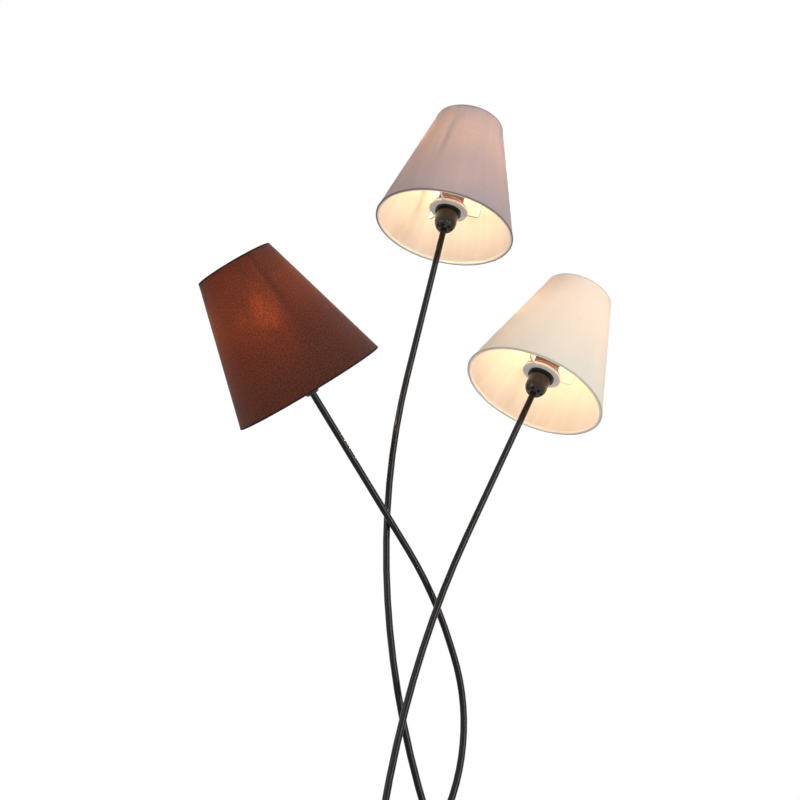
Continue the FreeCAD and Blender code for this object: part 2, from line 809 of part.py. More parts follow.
def bulb_glass():
    """Small blown globe, open at the neck where it stands on the cap."""
    neck_bottom = bulb_cap_bottom + bulb_cap_length
    centre = bulb_cap_bottom - bulb_tip_drop + bulb_length - bulb_glass_radius
    slant = math.radians(bulb_shoulder_angle)
    meet_radius = bulb_glass_radius * math.cos(slant)
    meet_height = centre - bulb_glass_radius * math.sin(slant)
    # The shoulder starts above the neck, and high enough to clear the holder's mouth.
    room = (skirt_bore - bulb_mouth_gap - bulb_neck_radius) / (meet_radius - bulb_neck_radius)
    clear_of_mouth = (skirt_top - room * meet_height) / (1 - room)
    collar = max(neck_bottom + bulb_neck_length, clear_of_mouth)

    def filled(radius, neck, bottom):
        """Return the solid inside one surface: neck, sloping shoulder and round."""
        meet = Vector(radius * math.cos(slant), 0, centre - radius * math.sin(slant))
        half = math.radians((90.0 - bulb_shoulder_angle) / 2)
        belly = Vector(radius * math.cos(half), 0, centre + radius * math.sin(half))
        crown = Vector(0, 0, centre + radius)
        return turned_edges([
            line(Vector(0, 0, bottom), Vector(neck, 0, bottom)),
            line(Vector(neck, 0, bottom), Vector(neck, 0, collar)),
            line(Vector(neck, 0, collar), meet),
            arc(meet, belly, crown),
            line(crown, Vector(0, 0, bottom)),
        ])

    glass = filled(bulb_glass_radius, bulb_neck_radius, neck_bottom)
    hollow = filled(bulb_glass_radius - bulb_glass_wall, bulb_neck_radius - bulb_glass_wall, bulb_cap_bottom)
    return glass.cut(hollow)


# ---------------------------------------------------------------- build
os.makedirs("parts", exist_ok=True)

save(felt_pad(), "felt_pad")
save(base_weight(), "base_weight")
save(base_cover(), "base_cover")
save(cord_inlet_bush(), "cord_inlet_bush")
save(base_hub(), "base_hub")
save(hub_plate(), "hub_plate")
save(base_screws(), "base_screws")
save(set_screws(), "tube_set_screws")
save(terminal_block(), "terminal_block")
save(terminal_screws(), "terminal_screws")

for colour, arm in arms.items():
    save(tube(arm), colour + "_tube")
    save(flex(arm), colour + "_flex")
    save(seat(nipple(), arm), colour + "_tube_nipple")
    save(seat(holder_cap(arm), arm), colour + "_holder_cap")
    save(seat(grub_screw(arm), arm), colour + "_cap_grub_screw")
    save(seat(holder_skirt(), arm), colour + "_holder_skirt")
    save(seat(holder_insert(), arm), colour + "_holder_insert")
    save(seat(centre_contact(), arm), colour + "_contacts")
    save(seat(thread_shell(), arm), colour + "_thread_shell")
    save(seat(ring_nut(), arm), colour + "_ring_nut")
    save(seat(shade_carrier(arm), arm), colour + "_shade_carrier")
    save(seat(rim_wires(), arm), colour + "_rim_wires")
    save(seat(shade(), arm), colour + "_shade")
    save(seat(bulb_cap(), arm), colour + "_bulb_cap")
    save(seat(bulb_tip(), arm), colour + "_bulb_tip")
    save(seat(bulb_glass(), arm), colour + "_bulb_glass")
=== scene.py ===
# %% [markdown]
# # A tree floor lamp
# Three thin black tubes stand in a round base, cross each other and end in tilted fabric
# shades. All of it could be drawn again from nothing, but the construction comes ready made
# as a fixed frame of separate pieces, and keeping that frame keeps every joint true. So this
# lesson gives the frame its looks: cloth shades that let the light through, threaded
# holders, bulbs that glow, satin paint, and the white studio round it all.

# %% Load the frame
import bpy
import json
import math
import numpy as np
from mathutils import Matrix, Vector


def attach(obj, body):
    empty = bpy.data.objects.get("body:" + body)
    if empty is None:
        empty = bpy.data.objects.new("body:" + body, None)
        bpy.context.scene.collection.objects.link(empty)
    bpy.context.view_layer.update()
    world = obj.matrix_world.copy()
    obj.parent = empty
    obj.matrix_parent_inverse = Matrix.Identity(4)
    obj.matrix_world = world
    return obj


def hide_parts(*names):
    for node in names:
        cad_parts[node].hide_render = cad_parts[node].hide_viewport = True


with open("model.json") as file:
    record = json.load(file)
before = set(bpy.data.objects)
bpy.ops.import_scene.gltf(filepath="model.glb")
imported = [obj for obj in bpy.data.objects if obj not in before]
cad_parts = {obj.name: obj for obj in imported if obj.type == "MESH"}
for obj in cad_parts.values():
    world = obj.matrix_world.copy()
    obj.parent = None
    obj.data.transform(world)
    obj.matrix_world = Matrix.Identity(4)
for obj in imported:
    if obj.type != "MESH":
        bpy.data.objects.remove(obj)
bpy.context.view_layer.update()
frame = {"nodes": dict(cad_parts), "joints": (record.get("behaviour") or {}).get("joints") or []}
COLOURS = ("grey", "brown", "cream")
joints = {joint["name"]: joint for joint in frame["joints"]}
print("pieces in the frame:", len(frame["nodes"]))

# %% [markdown]
# ## Where each head sits
# A head is everything round one bulb, and the bend of its tube leans it over. Its pieces
# could be modelled at that tilt, but a turned piece is far easier to draw upright. So each
# new piece is drawn about Z in millimetres and then laid on the head's axis, which is the
# line that its shade turns about. The frame gives that line, and the other two directions
# follow from it by cross products.

# %% Head places
MM = 0.001  # metres
UP = (0.0, 0.0, 1.0)


def head_place(colour):
    """Return the centre of the shade's bottom rim and the head's three directions.

    Z is the shade's axis, Y is level and square to it, and X is Y cross Z.
    """
    joint = joints[colour + "_shade_turn"]
    along = np.array(joint["axis"], float)
    along /= np.linalg.norm(along)
    level = np.cross(UP, along)
    level /= np.linalg.norm(level)
    across = np.cross(level, along)
    return np.array(joint["pos_m"], float), np.stack([across, level, along])


def on_head(points, colour):
    """Lay points in a head's millimetres in the lamp's metres: p = origin + x X + y Y + z Z."""
    origin, directions = head_place(colour)
    return origin + (points * MM) @ directions


for colour in COLOURS:
    rim_centre, head_directions = head_place(colour)
    lean = math.degrees(math.acos(head_directions[2][2]))
    print(colour, "head at", np.round(rim_centre, 3), "leans", round(lean, 1), "degrees")

# %% [markdown]
# ## Surfaces from two parameters
# Most pieces of a lamp are turned: one profile goes round an axis. A Screw modifier could
# sweep it, but a seam, a thread and flutes change the radius on the way round. So the
# surface is worked out as one grid of points, with a helper that sweeps a profile and one
# that pushes the points in or out.

# %% Turned grids
def turns(steps):
    """Return the angles of so many equal steps round one turn, in radians."""
    return np.linspace(0.0, 2.0 * np.pi, steps, endpoint=False)


def turned(profile, steps):
    """Return the grid of a profile of (radius, height) swept round Z: (r cos a, r sin a, h)."""
    angles = turns(steps)
    radius, height = np.asarray(profile, float).T
    return np.stack([
        radius[:, None] * np.cos(angles),
        radius[:, None] * np.sin(angles),
        np.repeat(height[:, None], steps, axis=1),
    ], -1)


def pushed_out(points, amount):
    """Return the points moved away from Z by an amount d: (x, y) times (r + d) / r."""
    radius = np.linalg.norm(points[..., :2], axis=-1)
    moved = points.copy()
    moved[..., :2] *= ((radius + amount) / radius)[..., None]
    return moved


print("a two-point profile in eight steps is a grid of", turned([(1, 0), (1, 2)], 8).shape)

# %% [markdown]
# ## From a grid to a mesh
# A grid of points becomes a mesh when each four neighbours share a face. Spin or Bridge
# could do that by hand in Edit Mode, but index arithmetic does it for any grid at once, and
# a remainder closes the surface without doubled points. Each face can also be given its
# place on a flat map, in metres, so that a weave follows the cloth.

# %% Grid mesh
def grid_mesh(name, points, closed_along=False, flat=None):
    """Make an object from points[i, j]: i runs along the profile and j closes round the axis.

    Face (i, j) joins points (i, j), (i, j+1), (i+1, j+1) and (i+1, j). flat[i, j] is the
    place of a point on the map, with one more row and column where the surface closes.
    """
    rows, columns = points.shape[:2]
    face_rows = rows if closed_along else rows - 1
    i, j = np.meshgrid(np.arange(face_rows), np.arange(columns), indexing="ij")
    i_next = (i + 1) % rows
    j_next = (j + 1) % columns
    quads = np.stack([
        i * columns + j,
        i * columns + j_next,
        i_next * columns + j_next,
        i_next * columns + j,
    ], -1).reshape(-1, 4)
    mesh = bpy.data.meshes.new(name)
    mesh.vertices.add(rows * columns)
    mesh.vertices.foreach_set("co", points.reshape(-1))
    mesh.loops.add(quads.size)
    mesh.loops.foreach_set("vertex_index", quads.reshape(-1))
    mesh.polygons.add(len(quads))
    mesh.polygons.foreach_set("loop_start", np.arange(0, quads.size, 4))
    mesh.polygons.foreach_set("use_smooth", np.full(len(quads), True))
    if flat is not None:
        places = np.stack([
            flat[i, j], flat[i, j + 1], flat[i + 1, j + 1], flat[i + 1, j]], 2)
        layer = mesh.uv_layers.new(name="cloth")
        layer.data.foreach_set("uv", places.reshape(-1))
    mesh.update(calc_edges=True)
    mesh.validate()
    piece = bpy.data.objects.new(name, mesh)
    bpy.context.scene.collection.objects.link(piece)
    return piece


# %% [markdown]
# ## Material helpers
# A real finish is never one flat colour: paint, plastic, metal and cloth all vary a little
# over the surface. Image textures could show that, but a small node tree stays sharp at any
# distance and needs no files. Each finish here starts from the Principled shader, and these
# helpers add a node, join it up and set plain values on its sockets.

# %% Node helpers
def new_finish(name):
    """Return a new material, its node tree and its Principled node."""
    finish = bpy.data.materials.new(name)
    finish.use_nodes = True
    tree = finish.node_tree
    return finish, tree, tree.nodes["Principled BSDF"]


def node(tree, kind, inputs=None, **settings):
    """Add a node, set its properties, and set or link its inputs."""
    made = tree.nodes.new(kind)
    for key, value in settings.items():
        setattr(made, key, value)
    for key, value in (inputs or {}).items():
        socket = made.inputs[key]
        if isinstance(value, bpy.types.NodeSocket):
            tree.links.new(value, socket)
        else:
            socket.default_value = value
    return made


def maths(tree, operation, *values, clamp=False):
    """Return the result of one Math node on values or sockets."""
    made = node(tree, "ShaderNodeMath", dict(enumerate(values)),
                operation=operation, use_clamp=clamp)
    return made.outputs[0]


def spread(tree, value, low, high):
    """Map a value of 0 to 1 on to low to high."""
    made = node(tree, "ShaderNodeMapRange", {"Value": value, "To Min": low, "To Max": high})
    return made.outputs["Result"]


print("materials before the first finish:", len(bpy.data.materials))

# %% [markdown]
# ## Texture and mixing helpers
# Grain, mottle and dents on a real surface have a size in millimetres. A noise on the
# piece's own coordinates, in metres, keeps that size and doesn't slide when the piece moves.
# The helpers here read such a noise, mix two colours or two shaders by it, and turn it into
# dents by a Bump node, which is far lighter than true displacement.

# %% Texture helpers
def noise(tree, scale, detail, roughness=0.5):
    """Return a noise texture of so many patches a metre on the piece's own coordinates."""
    coordinates = node(tree, "ShaderNodeTexCoord")
    made = node(tree, "ShaderNodeTexNoise", {
        "Vector": coordinates.outputs["Object"],
        "Scale": scale, "Detail": detail, "Roughness": roughness,
    })
    return made.outputs["Fac"]


def mixed_colour(tree, factor, first, second):
    """Return the mix of two colours by a factor.

    The Mix node has a pair of sockets for each type of value, and 6 and 7 are its colours.
    """
    made = node(tree, "ShaderNodeMix", {0: factor, 6: first, 7: second}, data_type="RGBA")
    return made.outputs[2]


def mixed_shader(tree, factor, first, second):
    """Return the mix of two shaders by a factor."""
    return node(tree, "ShaderNodeMixShader", {0: factor, 1: first, 2: second}).outputs[0]


def bump(tree, height, depth):
    """Return a normal that follows a height, with dents of so many millimetres."""
    return node(tree, "ShaderNodeBump", {"Height": height, "Distance": depth * MM}).outputs[0]


def times(tone, factor):
    """Return a colour made darker or lighter by a factor, at most 1, with alpha 1."""
    return tuple(min(1.0, factor * value) for value in tone[:3]) + (1.0,)


print("half of a mid grey is", times((0.5, 0.5, 0.5, 1.0), 0.5))

# %% [markdown]
# ## Black satin paint
# The tubes, the hub and the base are steel with a sprayed satin coat. One flat black would
# do from far off, but sprayed paint is never quite even: a fine orange peel bends the
# highlight, and handling polishes some places more than others. So a fine noise drives the
# bump and a broad one drives the roughness.

# %% Paint
# Scales are patches a metre, and ranges are added to a finish's own roughness.
PAINT_PATCHES = 9.0
PAINT_PEEL_SCALE = 420.0
PAINT_WORN = 1.25
PAINT_ROUGHNESS_RANGE = (-0.05, 0.07)


def satin_paint(name, tone, roughness, peel, gloss):
    """Return a sprayed paint with an orange peel of so many millimetres and uneven gloss."""
    finish, tree, shader = new_finish(name)
    broad = noise(tree, PAINT_PATCHES, detail=4.0)
    fine = noise(tree, PAINT_PEEL_SCALE, detail=2.0)
    low, high = (roughness + change for change in PAINT_ROUGHNESS_RANGE)
    tree.links.new(mixed_colour(tree, broad, tone, times(tone, PAINT_WORN)),
                   shader.inputs["Base Color"])
    tree.links.new(spread(tree, broad, low, high), shader.inputs["Roughness"])
    tree.links.new(bump(tree, fine, peel), shader.inputs["Normal"])
    shader.inputs["Specular IOR Level"].default_value = gloss
    return finish


black_paint = satin_paint("black_satin_paint", tone=(0.0075, 0.0058, 0.0050, 1.0),
                          roughness=0.17, peel=0.0012, gloss=0.22)
white_paint = satin_paint("white_wire_paint", tone=(0.70, 0.68, 0.64, 1.0),
                          roughness=0.42, peel=0.010, gloss=0.4)
print("paints:", black_paint.name, white_paint.name)

# %% [markdown]
# ## Moulded resin
# The lampholders are moulded in a dark resin, with faint specks of its filler. Paint would
# look too even for it, and a wood or stone texture too strong. A fine noise that mixes the
# tone with a lighter one, and roughens the gloss by the same pattern, is enough. The warm
# brown of the ring nuts and the threads is painted light: the same dark resin, in the colour
# that the bulb's glow gives it.

# %% Moulding
FILLER_SCALE = 260.0
FILLER_LIGHTER = 1.5
FILLER_DEPTH = 0.04
MOULDING_ROUGHNESS_RANGE = (-0.05, 0.1)
MOULDING_GLOSS = 0.45


def moulding(name, tone, roughness):
    """Return a moulded plastic with a faint mottle."""
    finish, tree, shader = new_finish(name)
    filler = noise(tree, FILLER_SCALE, detail=5.0, roughness=0.6)
    low, high = (roughness + change for change in MOULDING_ROUGHNESS_RANGE)
    tree.links.new(mixed_colour(tree, filler, tone, times(tone, FILLER_LIGHTER)),
                   shader.inputs["Base Color"])
    tree.links.new(spread(tree, filler, low, high), shader.inputs["Roughness"])
    tree.links.new(bump(tree, filler, FILLER_DEPTH), shader.inputs["Normal"])
    shader.inputs["Specular IOR Level"].default_value = MOULDING_GLOSS
    return finish


dark_moulding = moulding("dark_moulded_resin", tone=(0.011, 0.008, 0.006, 1.0), roughness=0.20)
# Painted light: the dark resin coloured warm brown, as the bulb lights it.
bulb_lit_moulding = moulding("bulb_lit_dark_resin", tone=(0.105, 0.036, 0.010, 1.0), roughness=0.28)
pale_moulding = moulding("pale_moulded_resin", tone=(0.72, 0.69, 0.62, 1.0), roughness=0.45)
print("mouldings:", dark_moulding.name, bulb_lit_moulding.name, pale_moulding.name)

# %% [markdown]
# ## Bare metals, rubber and felt
# Zinc plate is a dull silver with a light brushed grain, brass is warmer and tarnishes in
# patches, and cast iron is a coarse grey. The flex sheath and the bush are matt rubber, and
# the pad is black felt with short fibres. Each could have its own node tree, but the metals
# differ only in tone and grain, and so do the soft trims, so one function makes each kind.

# %% Metals
TARNISH_SCALE = 60.0
METAL_ROUGHNESS_RANGE = (-0.08, 0.12)


def metal(name, bright, dull, roughness, grain):
    """Return a bare metal that tarnishes from bright to dull, with a grain in its gloss."""
    finish, tree, shader = new_finish(name)
    patches = noise(tree, TARNISH_SCALE, detail=5.0, roughness=0.6)
    brushed = noise(tree, grain, detail=3.0)
    low, high = (roughness + change for change in METAL_ROUGHNESS_RANGE)
    tree.links.new(mixed_colour(tree, patches, dull, bright), shader.inputs["Base Color"])
    tree.links.new(spread(tree, brushed, low, high), shader.inputs["Roughness"])
    shader.inputs["Metallic"].default_value = 1.0
    return finish


zinc = metal("zinc_plate", bright=(0.72, 0.73, 0.74, 1.0), dull=(0.50, 0.51, 0.53, 1.0),
             roughness=0.34, grain=1500.0)
brass = metal("brass", bright=(0.86, 0.66, 0.32, 1.0), dull=(0.58, 0.42, 0.20, 1.0),
              roughness=0.28, grain=900.0)
cast = metal("cast_weight", bright=(0.20, 0.20, 0.21, 1.0), dull=(0.10, 0.10, 0.11, 1.0),
             roughness=0.62, grain=400.0)
print("metals:", zinc.name, brass.name, cast.name)

# %% Soft trim
MATT_ROUGHNESS = 0.85


def matt(name, tone, lighter, scale, depth):
    """Return a matt rubber or felt with a fibrous or pebbled surface."""
    finish, tree, shader = new_finish(name)
    fibres = noise(tree, scale, detail=6.0, roughness=0.7)
    tree.links.new(mixed_colour(tree, fibres, tone, lighter), shader.inputs["Base Color"])
    tree.links.new(bump(tree, fibres, depth), shader.inputs["Normal"])
    shader.inputs["Roughness"].default_value = MATT_ROUGHNESS
    return finish


rubber = matt("black_rubber", tone=(0.022, 0.022, 0.023, 1.0),
              lighter=(0.040, 0.040, 0.042, 1.0), scale=500.0, depth=0.05)
felt = matt("black_felt", tone=(0.012, 0.012, 0.013, 1.0),
            lighter=(0.060, 0.060, 0.062, 1.0), scale=1400.0, depth=0.4)
print("soft trim:", rubber.name, felt.name)

# %% [markdown]
# ## Finishes for the frame's own pieces
# The base, the tubes, the lampholders and the shade carriers already have their true shape
# in the frame. They could be clicked one by one in the Material tab, but a table of piece and
# finish shows the whole lamp at a glance. The three heads are alike, so their table is
# written once and used for each colour.

# %% Dress the frame's own pieces
FINISHES = {
    "felt_pad": felt, "base_weight": cast, "base_cover": black_paint, "cord_inlet_bush": rubber,
    "base_hub": black_paint, "hub_plate": zinc, "base_screws": zinc, "tube_set_screws": zinc,
    "terminal_block": pale_moulding, "terminal_screws": brass,
}
# The ring nuts get the resin whose brown tone is painted bulb light.
HEAD_FINISHES = {
    "tube": black_paint, "flex": rubber, "tube_nipple": brass, "holder_cap": dark_moulding,
    "cap_grub_screw": zinc, "holder_skirt": dark_moulding, "holder_insert": pale_moulding,
    "contacts": brass, "thread_shell": brass, "ring_nut": bulb_lit_moulding,
    "shade_carrier": white_paint, "rim_wires": white_paint, "bulb_cap": zinc, "bulb_tip": brass,
}
for colour in COLOURS:
    FINISHES.update({colour + "_" + part: finish for part, finish in HEAD_FINISHES.items()})


def dress(part, finish):
    """Give a frame piece its finish."""
    piece = frame["nodes"][part]
    piece.data.materials.clear()
    piece.data.materials.append(finish)


for part, finish in FINISHES.items():
    dress(part, finish)
print("dressed", len(FINISHES), "pieces of the frame")

# %% [markdown]
# ## The weave
# A shade's cloth is woven from threads that lie about half a millimetre to a millimetre
# apart, and here and there a thread is thicker, which is called a slub. The threads could be
# modelled, but there are hundreds in each shade. Two sine waves on the cloth's own flat map
# give the same pattern, and a noise that is stretched along the threads gives the slubs.

# %% Weave
SLUB_SCALE = (30.0, 900.0, 1.0)  # slubs a metre, along the thread and across it


def on_cloth(tree, scale, detail, roughness):
    """Return a noise on the cloth's flat map, of so many patches a metre round and up."""
    place = node(tree, "ShaderNodeUVMap", uv_map="cloth").outputs["UV"]
    stretched = node(tree, "ShaderNodeMapping", {"Vector": place, "Scale": scale})
    made = node(tree, "ShaderNodeTexNoise", {
        "Vector": stretched.outputs["Vector"],
        "Scale": 1.0, "Detail": detail, "Roughness": roughness,
    })
    return made.outputs["Fac"]


def weave(tree, warp, weft, slub):
    """Return a thread pattern of 0 to 1 on the cloth map.

    The height is 1/2 + (sin of one set of threads + sin of the other) / 4, mixed with the
    slubs by a share. warp and weft are threads a metre.
    """
    slubs = on_cloth(tree, SLUB_SCALE, detail=3.0, roughness=0.6)
    place = node(tree, "ShaderNodeUVMap", uv_map="cloth").outputs["UV"]
    sides = node(tree, "ShaderNodeSeparateXYZ", {"Vector": place})
    waves = []
    for axis, count in (("X", warp), ("Y", weft)):
        phase = maths(tree, "MULTIPLY", sides.outputs[axis], count * 2.0 * math.pi)
        waves.append(maths(tree, "SINE", phase))
    threads = maths(tree, "MULTIPLY_ADD", maths(tree, "ADD", *waves), 0.25, 0.5)
    both = node(tree, "ShaderNodeMix", {0: slub, 2: threads, 3: slubs}, data_type="FLOAT")
    return both.outputs[0]


print("a slub is about", round(1000.0 / SLUB_SCALE[0]), "mm long and",
      round(1000.0 / SLUB_SCALE[1], 1), "mm wide")

# %% [markdown]
# ## Thick and thin places, and painted shadow bands
# Held to the light, no cloth is even: it shows streaks and specks where the yarn or the glue
# is thinner. Giving each thread a brightness of its own could show the streaks, but they
# would run the whole way round. A noise that is stretched to the shape of a streak, with its
# contrast raised, gives clear places and dark ones that end. The same noise, stretched into
# broad soft bands up the cone, is painted shadow: it dims the light that comes through where
# the wires and the holder would shade the cloth.

# %% Mottle
def mottle(tree, round_it, up_it, contrast, lean=0.0):
    """Return a noise of so many patches a metre: a cloth's uneven thickness, or painted shadow.

    It runs from 1/2 - contrast to 1/2 + contrast, and what passes 0 or 1 is cut off where it
    is used. With a lean above 0 most of the cloth is thick and only the noise's peaks are thin.
    """
    patches = on_cloth(tree, (round_it, up_it, 1.0), detail=4.0, roughness=0.75)
    return spread(tree, patches, 0.5 - contrast - lean, 0.5 + contrast - lean)


def average(tree, first, second):
    """Return half the sum of two values, kept within 0 to 1."""
    return maths(tree, "MULTIPLY", maths(tree, "ADD", first, second), 0.5, clamp=True)


print("materials before the cloths:", len(bpy.data.materials))

# %% [markdown]
# ## Shade cloth
# A small shade is cloth laminated on a clear or white film. Lit from inside, most of the
# light that comes through is scattered and makes the whole wall glow. A part only blurs, as
# through a frosted pane, so the bulb and the wires still show softly. Volume scattering in
# a thin wall could do both, but slowly. Here the share that comes through is split between
# a Translucent and a rough Refraction shader, and both take the colour of the glow, which
# is dimmer at the streaks and specks, and at broad bands of painted shadow.

# %% Cloth
CLOTH_ROUGHNESS = 0.85
CLOTH_SHEEN = 0.10
CLOTH_GLOSS = 0.2
FROSTING = 0.72
CLOTH_IOR = 1.45
# Broad bands of painted shadow up the cone, in the light that passes: so many a metre round and
# up.
SHADOW_BANDS_ROUND = 26.0  # a metre
SHADOW_BANDS_UP = 3.0


def cloth(name, dark, light, glow, through, onward, threads, slub, depth, patches, shadow_bands, thick):
    """Return a cloth that is dark to light by its weave and lets a share of light through.

    onward is the part of that share which keeps its direction, blurred, as through a
    frosted pane. threads are warp and weft a metre, and depth is their height in
    millimetres. patches are the mottle's numbers, shadow_bands is the contrast of broad
    stripes up the cone, which are painted shadow that dims the glow, and thick is the share
    of the glow that the thickest, most shaded places still pass.
    """
    finish, tree, shader = new_finish(name)
    pattern = weave(tree, *threads, slub)
    uneven = mottle(tree, *patches)
    tree.links.new(mixed_colour(tree, average(tree, pattern, uneven), dark, light),
                   shader.inputs["Base Color"])
    tree.links.new(bump(tree, pattern, depth), shader.inputs["Normal"])
    shader.inputs["Roughness"].default_value = CLOTH_ROUGHNESS
    shader.inputs["Sheen Weight"].default_value = CLOTH_SHEEN
    shader.inputs["Specular IOR Level"].default_value = CLOTH_GLOSS
    # Broad stripes up the cone are painted shadow: they dim the glow where the wires and the
    # holder would shade the cloth, on top of its thick places.
    painted_shadow_stripes = mottle(tree, SHADOW_BANDS_ROUND, SHADOW_BANDS_UP, shadow_bands)
    clarity_and_painted_shadow = average(tree, uneven, painted_shadow_stripes)
    passed = mixed_colour(tree, clarity_and_painted_shadow, times(glow, thick), glow)
    scattered = node(tree, "ShaderNodeBsdfTranslucent", {"Color": passed})
    frosted = node(tree, "ShaderNodeBsdfRefraction", {
        "Color": passed, "Roughness": FROSTING, "IOR": CLOTH_IOR})
    behind = mixed_shader(tree, onward, scattered.outputs[0], frosted.outputs[0])
    both = mixed_shader(tree, through, shader.outputs[0], behind)
    tree.links.new(both, tree.nodes["Material Output"].inputs["Surface"])
    return finish


CLOTHS = {
    "grey": cloth(
        "grey_mauve_cloth", dark=(0.25, 0.30, 0.375, 1.0), light=(0.32, 0.38, 0.465, 1.0),
        glow=(0.94, 0.61, 0.37, 1.0), through=0.35, onward=0.50, threads=(1500.0, 1250.0),
        slub=0.5, depth=0.08, patches=(16.0, 1100.0, 0.9), shadow_bands=1.4, thick=0.58),
    "brown": cloth(
        "chocolate_cloth", dark=(0.020, 0.010, 0.008, 1.0), light=(0.042, 0.019, 0.014, 1.0),
        glow=(0.82, 0.165, 0.014, 1.0), through=0.22, onward=0.45, threads=(900.0, 900.0),
        slub=0.4, depth=0.07, patches=(640.0, 700.0, 2.6, 0.32), shadow_bands=0.3, thick=0.18),
    "cream": cloth(
        "cream_cloth", dark=(0.69, 0.73, 0.63, 1.0), light=(0.76, 0.81, 0.71, 1.0),
        glow=(0.98, 0.58, 0.50, 1.0), through=0.26, onward=0.08, threads=(1700.0, 1500.0),
        slub=0.3, depth=0.06, patches=(16.0, 1100.0, 0.8), shadow_bands=1.2, thick=0.68),
}
print("cloths:", [finish.name for finish in CLOTHS.values()])

# %% [markdown]
# ## Hems and lining
# At each rim the cloth is doubled over a wire and glued, so hardly any light comes through,
# and its tone is painted darker than the cloth as well, as painted shade of the rolled edge.
# Inside, the shade shows its white film, which is smoother and much brighter than the cloth.
# Both could be painted on to the cloth's own material by height, but separate finishes are
# simpler, because the mesh already knows which faces are which.

# %% Hems and lining
HEM_THREADS = 1100.0
HEM_SLUB = 0.5
HEM_DEPTH = 0.1
HEM_ROUGHNESS = 0.9
HEM_GLOSS = 0.15


def hem_cloth(name, dark, light):
    """Return the same cloth doubled and glued over a wire, where no light comes through."""
    finish, tree, shader = new_finish(name)
    pattern = weave(tree, HEM_THREADS, HEM_THREADS, HEM_SLUB)
    tree.links.new(mixed_colour(tree, pattern, dark, light), shader.inputs["Base Color"])
    tree.links.new(bump(tree, pattern, HEM_DEPTH), shader.inputs["Normal"])
    shader.inputs["Roughness"].default_value = HEM_ROUGHNESS
    shader.inputs["Specular IOR Level"].default_value = HEM_GLOSS
    return finish


# No light comes through a hem, and its tone is also painted darker than its cloth, as painted
# shade of the rolled edge.
HEMS = {
    "grey": hem_cloth(
        "grey_mauve_hem", dark=(0.19, 0.14, 0.12, 1.0), light=(0.27, 0.20, 0.175, 1.0)),
    "brown": hem_cloth(
        "chocolate_hem", dark=(0.014, 0.006, 0.005, 1.0), light=(0.034, 0.015, 0.011, 1.0)),
    "cream": hem_cloth(
        "cream_hem", dark=(0.50, 0.46, 0.37, 1.0), light=(0.62, 0.57, 0.46, 1.0)),
}
lining_film = cloth(
    "white_lining_film", dark=(0.90, 0.83, 0.74, 1.0), light=(0.98, 0.95, 0.93, 1.0),
    glow=(0.97, 0.92, 0.86, 1.0), through=0.52, onward=0.35, threads=(700.0, 300.0),
    slub=0.8, depth=0.02, patches=(34.0, 4.0, 1.6), shadow_bands=1.2, thick=0.7)
print("hems:", [finish.name for finish in HEMS.values()], "lining:", lining_film.name)

# %% [markdown]
# ## The shades
# The cone is rolled from one flat piece and lapped along a glued side seam, and its cloth is
# turned over a wire at each rim. A cone with a Solidify modifier would have the right wall
# but square edges and no seam. So a profile goes up the outside, over the top wire, down the
# lining and round the bottom wire, and is carried round the axis. The hem stands a little
# proud, and the seam is a low step on the side away from the viewer.

# %% Shade sizes
# Radii and heights are in millimetres, and a roll goes from one angle to another in degrees.
SHADE_BOTTOM = 80.0
SHADE_TOP = 40.0
SHADE_HEIGHT = 143.5
SHADE_WALL = 0.8
SHADE_SLOPE = (SHADE_TOP - SHADE_BOTTOM) / SHADE_HEIGHT
ROLL_OUT = 0.25
ROLL_HALF_WIDTH = 0.85
ROLL_HALF_HEIGHT = 0.9
ROLL_LEVEL = 0.9
ROLL_END = 1.6
TOP_ROLL = (-25.0, 215.0)
BOTTOM_ROLL = (145.0, 385.0)
WALL_STEPS = 34
ROLL_STEPS = 15
OUTSIDE, HEM, LINING = 0, 1, 2  # the finish of a stretch
print("the wall leans in by", round(math.degrees(math.atan(-SHADE_SLOPE)), 1), "degrees")


# %% Shade profile
def wall(heights, inset):
    """Return (radius, height) up the wall: R(h) = bottom + (top - bottom) h / height - inset."""
    return np.stack([SHADE_BOTTOM + SHADE_SLOPE * heights - inset, heights], -1)


def roll(level, start, end):
    """Return (radius, height) of cloth rolled over a wire: (c + a cos t, level + b sin t)."""
    turn = np.radians(np.linspace(start, end, ROLL_STEPS))
    centre = SHADE_BOTTOM + SHADE_SLOPE * level + ROLL_OUT - ROLL_HALF_WIDTH
    radius = centre + ROLL_HALF_WIDTH * np.cos(turn)
    return np.stack([radius, level + ROLL_HALF_HEIGHT * np.sin(turn)], -1)


def shade_profile():
    """Return (radius, height) round the wall and the finish of each stretch."""
    outside = wall(np.linspace(ROLL_END, SHADE_HEIGHT - ROLL_END, WALL_STEPS), 0.0)
    top = roll(SHADE_HEIGHT - ROLL_LEVEL, *TOP_ROLL)
    lining = wall(np.linspace(SHADE_HEIGHT - ROLL_END, ROLL_END, WALL_STEPS), SHADE_WALL)
    bottom = roll(ROLL_LEVEL, *BOTTOM_ROLL)
    profile = np.concatenate([outside, top, lining, bottom])
    kind = np.repeat([OUTSIDE, HEM, LINING, HEM],
                     [WALL_STEPS - 1, ROLL_STEPS + 1, WALL_STEPS - 1, ROLL_STEPS + 1])
    return profile, kind


print("points in the shade's profile:", len(shade_profile()[0]))

# %% [markdown]
# ## Laying the cloth on the cone
# The weave has to run round and up a real shade without stretching. Blender's Unwrap could
# flatten the cone, but its map comes in no known unit. Here the map is worked out: one way
# is the length along the profile, and the other is the length round the shade at its middle.

